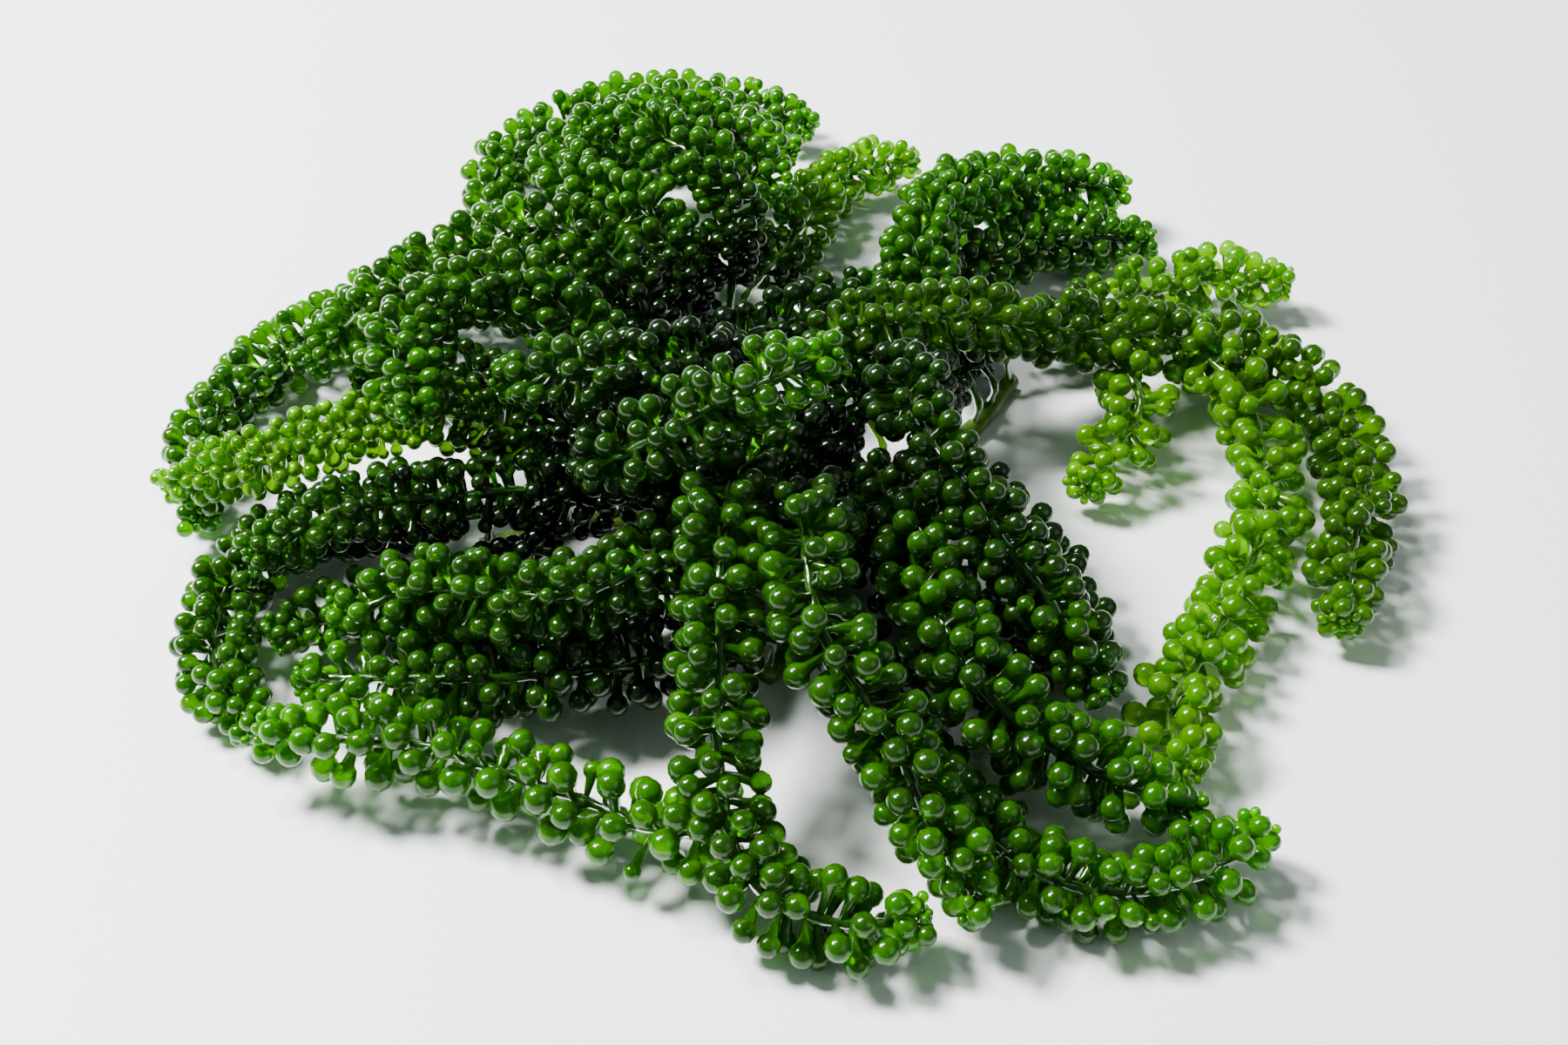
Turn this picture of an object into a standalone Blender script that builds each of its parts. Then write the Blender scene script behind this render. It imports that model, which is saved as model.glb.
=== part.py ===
"""A clump of sea grapes, a seaweed of berry-covered fronds on one creeping runner, laid on a flat surface.

Metres, +Z up. The origin is on the surface, under the middle of the runner. Each frond is a node: a soft core
with berries standing out of it. The runner that all of them grow from is a node too.
"""

import math

import bmesh
import bpy
import numpy as np
from mathutils import Matrix, Vector

MM = 0.001

# Driving dimensions of the plant, in millimetres
BERRY_RADIUS = 1.3
FROND_RADIUS = 4.8
CORE_RADIUS = 2.7
FOOT_RADIUS = 0.9
TIP_SHARE = 0.62
FOOT_TAPER = 14.0
TIP_TAPER = 7.0
BARE_FOOT = 7.0
BRANCH_FOOT_SHARE = 0.14
RUNNER_RADIUS = 1.1
RUNNER_AXIS_HEIGHT = 0.95
RUNNER_STEP = 4.0
GAP = 0.35

# How the berries are set round a frond
BERRY_PITCH = 3.15
GOLDEN_ANGLE = math.radians(137.508)
BERRY_CLEARANCE = 0.25
ROOT_DEPTH = 0.4
CORE_FLAT = 0.87
STALK_END = 1.5
BERRY_FOOT_SHARE = 0.45
SMALLEST_BERRY = 0.6
LAST_BERRY_BACK = 0.5
FLOOR_GAP = 0.05
BERRY_SIDES = 4
BERRY_PROFILE = ((1.0, 0.0), (0.45, 1.0), (-STALK_END, 0.0))
NUDGES = (0, 0.5, -0.5, 1.0, -1.0)
TIP_BERRY_SHARE = 0.8
TIP_BERRY_REACH = 0.7

# How the fronds are bent clear of one another
SAMPLE_STEP = 3.0
CORE_EVERY = 2
PACKED_RADIUS = 4.2
CLEARING_ROUNDS = 420
SINKING_ROUNDS = 260
SINK_STEP = 0.035
HOLD = 0.012
STIFFNESS = 0.45
FORK_REACH = 12.0
FOOT_CONTACT_SHARE = 0.33
PUSH = 0.25
PAIR_MARGIN = 2.5
PAIR_ROUNDS = 15

# The runner's routes in plan, in millimetres, and the fronds in the order in which they stand along it
RUNNER_ROUTES = {
    "main": [(-33, -8), (-22, -4), (-11, -3), (0, 0), (11, 4), (21, 11), (27, 21)],
    "back": [(-13, -3), (-15, 9), (-11, 21), (-4, 33)],
    "front": [(2, 1), (5, -8), (4, -18), (-2, -27)],
}
FEET = {
    "main": ["frond_left_edge", "frond_left_low", "frond_left_pale", "frond_middle_tip", "frond_left_under",
             "frond_left_inner", "frond_left_broad", "frond_middle_low", "frond_middle_left",
             "frond_front_left", "frond_right_arch", "frond_right_low", "frond_right_high",
             "frond_back_right", "frond_back_right_inner", "frond_back_right_low"],
    "back": ["frond_left_fill", "frond_left_outer", "frond_middle_back", "frond_left_upper",
             "frond_back_arc", "frond_back_crown", "frond_back_under", "frond_back_short", "frond_back_tip"],
    "front": ["frond_front_right", "frond_right_fill", "frond_front_middle", "frond_front_low",
              "frond_front_fill"],
}

# Routes of the fronds, in millimetres: plan x, plan y and height of the axis. A main route starts at the first
# point above its foot, and a fork starts on the main route.
FROND_ROUTES = {
    "frond_right_arch": {
        "main": [(5, 8, 17), (18, 11, 18), (31, 15, 13), (44, 19, 9), (55, 18, 7), (62, 9, 5), (63, -3, 5),
                 (60, -13, 5), (57, -23, 5)],
        "long_fork": [(46, 19, 9), (52, 10, 8), (53, 1, 6), (52, -8, 5), (48, -17, 5), (43, -27, 5),
                      (38, -36, 5), (38, -44, 5)],
        "short_fork": [(37, 17, 10), (40, 9, 8), (37, 4, 6), (33, -2, 5)],
    },
    "frond_front_left": {
        "main": [(-3, -15, 18), (-5, -29, 21), (-5, -40, 17), (-5, -49, 12), (-2, -57, 7), (5, -60, 5),
                 (13, -60, 5)],
        "left_fork": [(-4, -53, 9), (-11, -51, 7), (-18, -47, 7), (-26, -44, 8), (-34, -41, 9),
                      (-42, -40, 9), (-49, -39, 9)],
    },
    "frond_front_middle": {
        "main": [(5, -20, 17), (3, -29, 23), (5, -39, 20), (11, -46, 15), (15, -52, 10), (19, -58, 6)],
    },
    "frond_front_right": {
        "main": [(9, -16, 13), (13, -29, 16), (17, -40, 15), (23, -46, 12), (31, -50, 9), (39, -52, 6)],
    },
    "frond_front_low": {
        "main": [(7, -29, 6), (11, -40, 5), (17, -50, 5), (25, -55, 5), (34, -53, 5), (41, -47, 5)],
    },
    "frond_front_fill": {
        "main": [(-10, -29, 7), (-18, -32, 8), (-28, -34, 9), (-38, -34, 9), (-47, -33, 8)],
    },
    "frond_right_low": {
        "main": [(18, -3, 8), (25, -11, 6), (29, -20, 5), (30, -31, 5)],
    },
    "frond_right_high": {
        "main": [(11, -3, 18), (11, -15, 20), (16, -24, 16), (22, -30, 11), (27, -37, 6)],
    },
    "frond_right_fill": {
        "main": [(11, -16, 6), (18, -22, 6), (22, -31, 6), (23, -42, 5)],
    },
    "frond_left_broad": {
        "main": [(-12, -14, 14), (-14, -25, 17), (-21, -30, 17), (-29, -29, 16), (-37, -26, 14),
                 (-45, -27, 11)],
    },
    "frond_left_low": {
        "main": [(-26, -14, 6), (-33, -19, 5), (-43, -22, 5), (-51, -26, 5)],
    },
    "frond_left_edge": {
        "main": [(-41, -9, 6), (-50, -9, 6), (-56, -14, 5), (-57, -23, 5), (-55, -31, 5), (-50, -37, 5)],
    },
    "frond_left_under": {
        "main": [(-26, -7, 6), (-36, -9, 6), (-46, -11, 6), (-54, -17, 5)],
    },
    "frond_left_pale": {
        "main": [(-29, -1, 11), (-38, 0, 13), (-46, -3, 12), (-54, -7, 10), (-64, -8, 7)],
    },
    "frond_left_outer": {
        "main": [(-21, 19, 6), (-31, 29, 6), (-43, 31, 6), (-54, 26, 5), (-61, 16, 5), (-65, 5, 5),
                 (-63, -7, 5)],
    },
    "frond_left_upper": {
        "main": [(-18, 22, 15), (-27, 28, 18), (-38, 27, 15), (-47, 22, 12), (-53, 14, 10)],
    },
    "frond_left_inner": {
        "main": [(-21, 8, 15), (-30, 14, 18), (-38, 10, 16), (-41, 2, 16), (-38, -7, 15)],
    },
    "frond_left_fill": {
        "main": [(-22, 10, 6), (-30, 17, 6), (-39, 21, 6), (-47, 18, 6)],
    },
    "frond_back_arc": {
        "main": [(-19, 31, 6), (-29, 40, 6), (-36, 49, 5), (-37, 60, 5), (-31, 70, 5), (-20, 76, 5),
                 (-7, 76, 5), (3, 71, 5)],
    },
    "frond_back_crown": {
        "main": [(-15, 33, 15), (-25, 42, 14), (-27, 51, 13), (-20, 58, 12), (-9, 60, 11), (1, 58, 8)],
    },
    "frond_back_under": {
        "main": [(-11, 37, 6), (-18, 46, 5), (-25, 54, 5), (-26, 61, 5), (-18, 67, 5), (-8, 66, 5)],
    },
    "frond_back_short": {
        "main": [(-8, 37, 19), (-16, 44, 21), (-16, 51, 20), (-7, 50, 18), (-1, 43, 14)],
    },
    "frond_back_tip": {
        "main": [(1, 43, 6), (4, 53, 6), (9, 61, 5), (16, 62, 5)],
    },
    "frond_back_right": {
        "main": [(16, 26, 12), (18, 36, 13), (24, 45, 11), (33, 51, 8), (43, 53, 6)],
    },
    "frond_back_right_inner": {
        "main": [(19, 29, 9), (26, 38, 8), (35, 44, 6), (45, 45, 5)],
    },
    "frond_back_right_low": {
        "main": [(33, 25, 6), (43, 32, 5), (53, 36, 5), (61, 35, 5)],
    },
    "frond_middle_tip": {
        "main": [(-17, -18, 16), (-12, -21, 22), (-4, -20, 27), (5, -16, 29)],
    },
    "frond_middle_left": {
        "main": [(-6, 0, 20), (-11, -6, 25), (-20, -7, 25), (-28, -4, 22)],
    },
    "frond_middle_back": {
        "main": [(-5, 15, 13), (4, 19, 14), (12, 25, 12), (13, 33, 8)],
    },
    "frond_middle_low": {
        "main": [(0, -9, 9), (-9, -15, 9), (-20, -19, 9), (-31, -20, 7), (-40, -21, 5)],
    },
}

# Base colour and roughness of each skin, and the fronds that have the brighter one
SKIN = {
    "dark_frond": ((0.030, 0.110, 0.012, 1.0), 0.18),
    "bright_frond": ((0.090, 0.230, 0.020, 1.0), 0.18),
    "runner": ((0.330, 0.420, 0.120, 1.0), 0.30),
}
BRIGHT_FRONDS = ("frond_right_arch", "frond_left_pale", "frond_back_tip", "frond_back_right_low")


def smooth_line(points, step=SAMPLE_STEP):
    """Evenly spaced points along a smooth curve through the given ones."""
    knots = np.array(points, float)
    knots = np.vstack([2 * knots[0] - knots[1], knots, 2 * knots[-1] - knots[-2]])
    t = np.linspace(0, 1, 16, endpoint=False)[:, None]
    pieces = []
    for a, b, c, d in zip(knots, knots[1:], knots[2:], knots[3:]):
        bend = a - 2.5 * b + 2 * c - d / 2
        pieces.append(b + (c - a) * t / 2 + bend * t**2 + (1.5 * (b - c) + (d - a) / 2) * t**3)
    fine = np.vstack(pieces + [knots[-2:-1]])
    along = np.concatenate([[0], np.cumsum(np.linalg.norm(np.diff(fine, axis=0), axis=1))])
    even = np.linspace(0, along[-1], max(3, round(along[-1] / step) + 1))
    return np.column_stack([np.interp(even, along, fine[:, i]) for i in range(3)])


def lengths_along(line):
    """Distance of each point of a line from its start."""
    return np.concatenate([[0], np.cumsum(np.linalg.norm(np.diff(line, axis=0), axis=1))])


def smoothstep(x):
    """0 below 0, 1 above 1, and a smooth rise between."""
    x = np.clip(x, 0, 1)
    return x * x * (3 - 2 * x)


def swell(line, fork, foot_share):
    """How far the frond has filled out at each point, from its foot's share to 1 and back to its tip's."""
    along = lengths_along(line)
    rise = np.ones(len(line)) if fork else foot_share + (1 - foot_share) * smoothstep(along / FOOT_TAPER)
    return rise * (TIP_SHARE + (1 - TIP_SHARE) * smoothstep((along[-1] - along) / TIP_TAPER))


def runner_lines(step):
    """The runner's axis with a point each step, one line for each of its branches."""
    return {branch: smooth_line([(x, y, RUNNER_AXIS_HEIGHT) for x, y in plan], step)
            for branch, plan in RUNNER_ROUTES.items()}


def feet_of(runner):
    """Where each frond stands on the runner, evenly spaced along each branch."""
    height = RUNNER_AXIS_HEIGHT + RUNNER_RADIUS + GAP
    feet = {}
    for branch, names in FEET.items():
        line = runner[branch]
        first = 0.02 if branch == "main" else BRANCH_FOOT_SHARE
        for name, share in zip(names, np.linspace(first, 0.98, len(names))):
            x, y, _ = line[round(share * (len(line) - 1))]
            feet[name] = (x, y, height)
    return feet


def starting_lines(feet):
    """Every frond's lines along their routes, before they are bent clear: {(frond, branch): points}."""
    lines = {}
    for name, branches in FROND_ROUTES.items():
        for branch, route in branches.items():
            if branch == "main":
                x, y, z = feet[name]
                route = [(x, y, z), (x, y, z + 3)] + route
            lines[name, branch] = smooth_line(route)
    return lines


class Tangle:
    """Every frond's line as one set of points, which sink, and push one another apart."""

    def __init__(self, lines, runner):
        self.keys = list(lines)
        self.starts = np.cumsum([0] + [len(lines[key]) for key in self.keys])
        self.rest = np.vstack([lines[key] for key in self.keys])
        self.ground = np.vstack(list(runner.values()))
        counts = [len(lines[key]) for key in self.keys]
        self.line = np.repeat(np.arange(len(self.keys)), counts)
        self.order = np.concatenate([np.arange(count) for count in counts])
        fills = [swell(lines[key], key[1] != "main", FOOT_CONTACT_SHARE) for key in self.keys]
        self.fill = np.concatenate(fills)
        numbers = np.arange(len(self.rest))
        self.before = np.where(self.order == 0, numbers, numbers - 1)
        self.after = np.where(np.isin(numbers, self.starts[1:] - 1), numbers, numbers + 1)
        self.feet = np.array([self.starts[i] for i, key in enumerate(self.keys) if key[1] == "main"])
        forks = [i for i, key in enumerate(self.keys) if key[1] != "main"]
        self.forks = {self.starts[i]: self.stem_point(i) for i in forks}
        self.rest[list(self.forks)] = self.rest[list(self.forks.values())]
        self.spot = self.rest.copy()
        self.reach = self.reaches()
        self.lowest = np.where(self.order < 3, 0.0, FROND_RADIUS * self.fill)

    def stem_point(self, fork):
        """The point of its frond's main line that a fork starts from."""
        stem = self.line == self.keys.index((self.keys[fork][0], "main"))
        away = np.linalg.norm(self.rest - self.rest[self.starts[fork]], axis=1)
        return int(np.argmin(np.where(stem, away, np.inf)))

    def reaches(self):
        """How far apart each two points have to be: nothing for neighbours on a line and round a fork."""
        radius = PACKED_RADIUS * self.fill
        reach = radius[:, None] + radius[None, :]
        same_line = self.line[:, None] == self.line[None, :]
        reach[same_line & (np.abs(self.order[:, None] - self.order[None, :]) < 4)] = 0
        for fork, stem in self.forks.items():
            on_fork = (self.line == self.line[fork]) & (self.order * SAMPLE_STEP < FORK_REACH)
            steps = np.abs(self.order - self.order[stem])
            on_stem = (self.line == self.line[stem]) & (steps * SAMPLE_STEP < FORK_REACH)
            reach[np.ix_(on_fork, on_stem)] = 0
            reach[np.ix_(on_stem, on_fork)] = 0
        return reach

    def near_pairs(self):
        """The pairs of points that are close enough to meet within a few rounds."""
        away = np.linalg.norm(self.spot[:, None] - self.spot[None, :], axis=2)
        return np.nonzero(np.triu((self.reach > 0) & (away < self.reach + PAIR_MARGIN), 1))

    def push_apart(self, pairs):
        """Moves the two points of each pair that is too close a little away from each other."""
        first, second = pairs
        apart = self.spot[first] - self.spot[second]
        away = np.linalg.norm(apart, axis=1) + 1e-9
        step = apart * (PUSH * np.clip(self.reach[first, second] - away, 0, None) / away)[:, None]
        np.add.at(self.spot, first, step)
        np.add.at(self.spot, second, -step)

    def lift_off_runner(self):
        """Moves what crosses the runner off it, apart from each frond's own foot."""
        apart = self.spot[:, None] - self.ground[None, :]
        away = np.linalg.norm(apart, axis=2) + 1e-9
        points = np.arange(len(self.spot))
        nearest = np.argmin(away, axis=1)
        needed = np.where(self.order < 2, 0, PACKED_RADIUS * self.fill + RUNNER_RADIUS + GAP)
        share = np.clip(needed - away[points, nearest], 0, None) / away[points, nearest]
        self.spot += apart[points, nearest] * (2 * PUSH * share)[:, None]

    def smooth(self):
        """Shares each point's move with its neighbours, and keeps feet and forks where they grow."""
        moved = self.spot - self.rest
        moved += STIFFNESS * ((moved[self.before] + moved[self.after]) / 2 - moved)
        self.spot = self.rest + moved
        self.spot[:, 2] = np.maximum(self.spot[:, 2], self.lowest)
        self.spot[self.feet] = self.rest[self.feet]
        self.spot[self.feet + 1] = self.rest[self.feet + 1]
        self.spot[list(self.forks)] = self.spot[list(self.forks.values())]

    def settle(self):
        """Sinks and clears the lines, and gives them back as {(frond, branch): points}."""
        for turn in range(SINKING_ROUNDS + CLEARING_ROUNDS):
            if turn % PAIR_ROUNDS == 0:
                pairs = self.near_pairs()
            self.push_apart(pairs)
            self.lift_off_runner()
            if turn < SINKING_ROUNDS:
                self.spot[:, 2] -= SINK_STEP
                self.spot += HOLD * (self.rest - self.spot)
            self.smooth()
        return {key: self.spot[self.starts[i]:self.starts[i + 1]] for i, key in enumerate(self.keys)}


def frames_along(line):
    """Tangent, and two directions square to it that don't twist, at each point of a line."""
    tangents = np.gradient(line, axis=0)
    tangents /= np.linalg.norm(tangents, axis=1)[:, None]
    across = np.cross(tangents[0], (0, 0, 1) if abs(tangents[0][2]) < 0.9 else (1, 0, 0))
    frames = []
    for tangent in tangents:
        across = across - tangent * (across @ tangent)
        across /= np.linalg.norm(across)
        frames.append((tangent, across, np.cross(tangent, across)))
    return frames


def berry_places(line, fork, first_turn):
    """Axis point, frame, fill and turn of each berry along a line by the golden angle, and the line's end."""
    fine = smooth_line(line, 0.5)
    along = lengths_along(fine)
    frames = frames_along(fine)
    fill = swell(fine, fork, BERRY_FOOT_SHARE)
    start = CORE_RADIUS * 2 if fork else BARE_FOOT
    count = max(2, round((along[-1] - start) / BERRY_PITCH))
    places = []
    for number, distance in enumerate(np.linspace(start, along[-1] - LAST_BERRY_BACK, count)):
        i = int(np.searchsorted(along, distance).clip(0, len(fine) - 1))
        places.append((fine[i], frames[i], fill[i], (first_turn + number) * GOLDEN_ANGLE))
    return places, (fine[-1], frames[-1][0])


def core_stations(line, fork):
    """The few points and radii that a frond's core is drawn through."""
    last = len(line) - 1
    kept = sorted({0, 1, 2, last - 1, last} | set(range(2, last - 1, CORE_EVERY)))
    radii = CORE_RADIUS * swell(line, fork, FOOT_RADIUS / CORE_RADIUS)
    return line[kept], radii[kept]


def core_samples(line, fork):
    """Close points along the straight runs of a frond's core, with its radius at each."""
    stations, radii = core_stations(line, fork)
    along = lengths_along(stations)
    even = np.linspace(0, along[-1], round(along[-1] / 0.5))
    spots = np.column_stack([np.interp(even, along, stations[:, i]) for i in range(3)])
    return spots, np.interp(even, along, radii)


def clear_of(centre, radius, berries, cores):
    """Whether a berry stays clear of the berries and cores of the other fronds."""
    for spots, radii in (berries, cores):
        if len(spots) and (np.linalg.norm(spots - centre, axis=1) < radii + radius + BERRY_CLEARANCE).any():
            return False
    return True


def rooted(centre, outward, radius, spots, radii):
    """Whether the stalk's end of a berry is sunk well into its own frond's core."""
    root = centre - outward * (STALK_END * radius)
    return (np.linalg.norm(spots - root, axis=1) < CORE_FLAT * radii - ROOT_DEPTH).any()


def berries_of(name, first_turn, lines, berries, cores):
    """The berries of one frond, none of them touching the other fronds' berries and cores that are given."""
    placed = []
    for branch in FROND_ROUTES[name]:
        fork = branch != "main"
        own = core_samples(lines[name, branch], fork)
        places, (end, tangent) = berry_places(lines[name, branch], fork, first_turn)
        for spot, (_, across, up), fill, turn in places:
            radius = BERRY_RADIUS * (SMALLEST_BERRY + (1 - SMALLEST_BERRY) * fill)
            for nudge in NUDGES:
                outward = math.cos(turn + nudge) * across + math.sin(turn + nudge) * up
                centre = spot + outward * (FROND_RADIUS * fill - radius)
                centre[2] = max(centre[2], radius + FLOOR_GAP)
                if rooted(centre, outward, radius, *own) and clear_of(centre, radius, berries, cores):
                    placed.append((centre, outward, radius))
                    break
        radius = BERRY_RADIUS * TIP_BERRY_SHARE
        centre = end + tangent * TIP_BERRY_REACH
        if rooted(centre, tangent, radius, *own) and clear_of(centre, radius, berries, cores):
            placed.append((centre, tangent, radius))
    return placed


def set_berries(lines, runner):
    """The berries of every frond: {frond: [(centre, outward, radius)]}."""
    cores = {}
    for (name, branch), line in lines.items():
        cores.setdefault(name, []).append(core_samples(line, branch != "main"))
    ground = np.vstack(list(runner.values()))
    placed = {}
    for number, name in enumerate(FROND_ROUTES):
        others = [core for other in cores if other != name for core in cores[other]]
        others.append((ground, np.full(len(ground), RUNNER_RADIUS)))
        other_spots = np.vstack([spots for spots, _ in others])
        other_cores = (other_spots, np.concatenate([radii for _, radii in others]))
        before = [berry for other in placed.values() for berry in other]
        other_berries = (np.array([berry[0] for berry in before]).reshape(-1, 3),
                         np.array([berry[2] for berry in before]))
        placed[name] = berries_of(name, number, lines, other_berries, other_cores)
    return placed


def clear_scene():
    """Removes what the startup scene holds."""
    for obj in list(bpy.data.objects):
        bpy.data.objects.remove(obj)


def skin(slot):
    """The wet, slightly see-through skin of one kind of frond or of the runner."""
    material = bpy.data.materials.get(slot) or bpy.data.materials.new(slot)
    material.use_nodes = True
    shader = material.node_tree.nodes["Principled BSDF"]
    colour, roughness = SKIN[slot]
    shader.inputs["Base Color"].default_value = colour
    shader.inputs["Roughness"].default_value = roughness
    shader.inputs["Metallic"].default_value = 0.0
    shader.inputs["Subsurface Weight"].default_value = 0.3
    material.diffuse_color = colour
    return material


def tube(name, line, radii, sides_level):
    """A closed round tube along a line, as a mesh: a bevelled curve with its caps welded."""
    curve = bpy.data.curves.new(name, "CURVE")
    curve.dimensions = "3D"
    curve.bevel_depth = MM
    curve.bevel_resolution = sides_level
    curve.use_fill_caps = True
    spline = curve.splines.new("POLY")
    spline.points.add(len(line) - 1)
    for point, place, radius in zip(spline.points, line, radii):
        point.co = (*(np.array(place) * MM), 1.0)
        point.radius = radius
    guide = bpy.data.objects.new(name, curve)
    bpy.context.scene.collection.objects.link(guide)
    bpy.context.view_layer.update()
    mesh = bpy.data.meshes.new_from_object(guide.evaluated_get(bpy.context.evaluated_depsgraph_get()))
    bpy.data.objects.remove(guide)
    weld = bmesh.new()
    weld.from_mesh(mesh)
    bmesh.ops.remove_doubles(weld, verts=weld.verts, dist=0.00001)
    bmesh.ops.recalc_face_normals(weld, faces=weld.faces)
    weld.to_mesh(mesh)
    weld.free()
    return bpy.data.objects.new(name, mesh)


def berry_mesh():
    """One berry of unit radius with its stalk, which every berry shares: its profile spun round +Z."""
    shape = bmesh.new()
    profile = [shape.verts.new((across, 0, up)) for up, across in BERRY_PROFILE]
    edges = [shape.edges.new(pair) for pair in zip(profile, profile[1:])]
    bmesh.ops.spin(shape, geom=profile + edges, cent=(0, 0, 0), axis=(0, 0, 1), angle=2 * math.pi,
                   steps=BERRY_SIDES)
    bmesh.ops.remove_doubles(shape, verts=shape.verts, dist=0.001)
    bmesh.ops.recalc_face_normals(shape, faces=shape.faces)
    mesh = bpy.data.meshes.new("berry")
    shape.to_mesh(mesh)
    shape.free()
    return mesh


def fuse(body, pieces):
    """Joins the pieces to the body in one Boolean union, and removes them."""
    joined = bpy.data.collections.new(body.name + "_pieces")
    bpy.context.scene.collection.children.link(joined)
    for piece in pieces:
        joined.objects.link(piece)
    union = body.modifiers.new("union", "BOOLEAN")
    union.operation = "UNION"
    union.operand_type = "COLLECTION"
    union.collection = joined
    union.solver = "EXACT"
    bpy.context.view_layer.update()
    mesh = bpy.data.meshes.new_from_object(body.evaluated_get(bpy.context.evaluated_depsgraph_get()))
    body.modifiers.clear()
    body.data = mesh
    for piece in pieces:
        bpy.data.objects.remove(piece)
    bpy.data.collections.remove(joined)


def stand_at(obj, place):
    """Gives an object its origin at a place in millimetres, with its shape where it was."""
    origin = Vector([float(x) * MM for x in place])
    obj.data.transform(Matrix.Translation(-origin))
    obj.location = origin


def frond(name, lines, berries, shared_berry, plant, home):
    """One frond with its forks: cores along its lines, joined with the berries that stand out of them."""
    bodies = []
    for branch in FROND_ROUTES[name]:
        stations, radii = core_stations(lines[name, branch], branch != "main")
        bodies.append(tube(name + "_" + branch, stations, radii, 1))
    body = bodies[0]
    plant.objects.link(body)
    pieces = bodies[1:]
    for number, (centre, outward, radius) in enumerate(berries):
        piece = bpy.data.objects.new(f"{name}_berry_{number}", shared_berry)
        turn = Vector(outward).to_track_quat("Z", "Y")
        place = Vector([float(x) * MM for x in centre])
        piece.matrix_world = Matrix.LocRotScale(place, turn, Vector([float(radius) * MM] * 3))
        pieces.append(piece)
    fuse(body, pieces)
    body.name = name
    body.data.name = name
    body.data.materials.clear()
    body.data.materials.append(skin("bright_frond" if name in BRIGHT_FRONDS else "dark_frond"))
    body.data.shade_smooth()
    body.data.set_sharp_from_angle(angle=math.radians(60))
    stand_at(body, lines[name, "main"][0])
    body.parent = home
    return body


def runner_piece(plant, home):
    """The creeping runner: its branches joined, and pressed flat where they lie on the surface."""
    tubes = []
    for branch, line in runner_lines(RUNNER_STEP).items():
        tubes.append(tube("runner_" + branch, line, np.full(len(line), RUNNER_RADIUS), 2))
    body = tubes[0]
    plant.objects.link(body)
    fuse(body, tubes[1:])
    flat = bmesh.new()
    flat.from_mesh(body.data)
    everything = list(flat.verts) + list(flat.edges) + list(flat.faces)
    cut = bmesh.ops.bisect_plane(flat, geom=everything, plane_co=(0, 0, 0), plane_no=(0, 0, -1),
                                 clear_outer=True)
    rim = [edge for edge in cut["geom_cut"] if isinstance(edge, bmesh.types.BMEdge)]
    bmesh.ops.contextual_create(flat, geom=rim)
    bmesh.ops.recalc_face_normals(flat, faces=flat.faces)
    flat.to_mesh(body.data)
    flat.free()
    body.name = "runner"
    body.data.name = "runner"
    body.data.materials.clear()
    body.data.materials.append(skin("runner"))
    body.parent = home
    return body


def main():
    """Builds the clump."""
    clear_scene()
    plant = bpy.data.collections.new("sea_grapes")
    bpy.context.scene.collection.children.link(plant)
    home = bpy.data.objects.new("plant", None)
    plant.objects.link(home)
    runner = runner_lines(1.0)
    lines = Tangle(starting_lines(feet_of(runner)), runner).settle()
    berries = set_berries(lines, runner)
    shared_berry = berry_mesh()
    runner_piece(plant, home)
    for name in FROND_ROUTES:
        frond(name, lines, berries[name], shared_berry, plant, home)


main()
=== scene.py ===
"""Sea grapes seaweed: the looks of the clump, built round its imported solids.

Every frond node is replaced with its full coat of round berries on their stalks, and the runner with a finer
stem. The fronds' lines are those of the part's source. Lengths are in millimetres until a mesh takes its
place in the scene, and in metres from there on. +Z is up, and the clump lies on the floor at z = 0.
"""

import logging
import math
from dataclasses import dataclass, field
from enum import Enum

import bmesh
import bpy
import numpy as np
from mathutils import Matrix, Vector
from mathutils.kdtree import KDTree


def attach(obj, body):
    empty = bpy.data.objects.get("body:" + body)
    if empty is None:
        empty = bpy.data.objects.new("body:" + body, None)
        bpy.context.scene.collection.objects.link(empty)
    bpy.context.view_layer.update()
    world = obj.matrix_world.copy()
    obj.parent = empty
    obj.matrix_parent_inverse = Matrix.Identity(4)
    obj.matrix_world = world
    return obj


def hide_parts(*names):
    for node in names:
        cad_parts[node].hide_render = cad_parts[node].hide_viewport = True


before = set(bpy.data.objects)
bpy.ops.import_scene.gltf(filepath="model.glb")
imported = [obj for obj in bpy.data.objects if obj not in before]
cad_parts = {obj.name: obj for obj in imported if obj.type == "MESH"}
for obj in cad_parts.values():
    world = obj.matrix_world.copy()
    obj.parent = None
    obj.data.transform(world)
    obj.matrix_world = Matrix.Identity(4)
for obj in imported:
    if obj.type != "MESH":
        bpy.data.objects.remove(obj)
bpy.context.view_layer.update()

Colour = tuple[float, float, float, float]
Point = tuple[float, float, float]
Directions = tuple[np.ndarray, np.ndarray, np.ndarray]
Lines = dict[tuple[str, str], np.ndarray]

MM = 0.001
BODY = "root"
SEED = 11
MAIN = "main"
TINY = 1e-9

log = logging.getLogger("sea_grapes")

# Driving dimensions of the plant, in millimetres, as in the part's source
BERRY_RADIUS = 1.3
FROND_RADIUS = 4.8
AXIS_RADIUS = 0.75
TIP_SHARE = 0.62
FOOT_TAPER = 14.0
TIP_TAPER = 7.0
BARE_FOOT = 6.0
RUNNER_RADIUS = 1.1
RUNNER_AXIS_HEIGHT = 0.95
GAP = 0.35
GOLDEN_ANGLE = math.radians(137.508)

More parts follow.
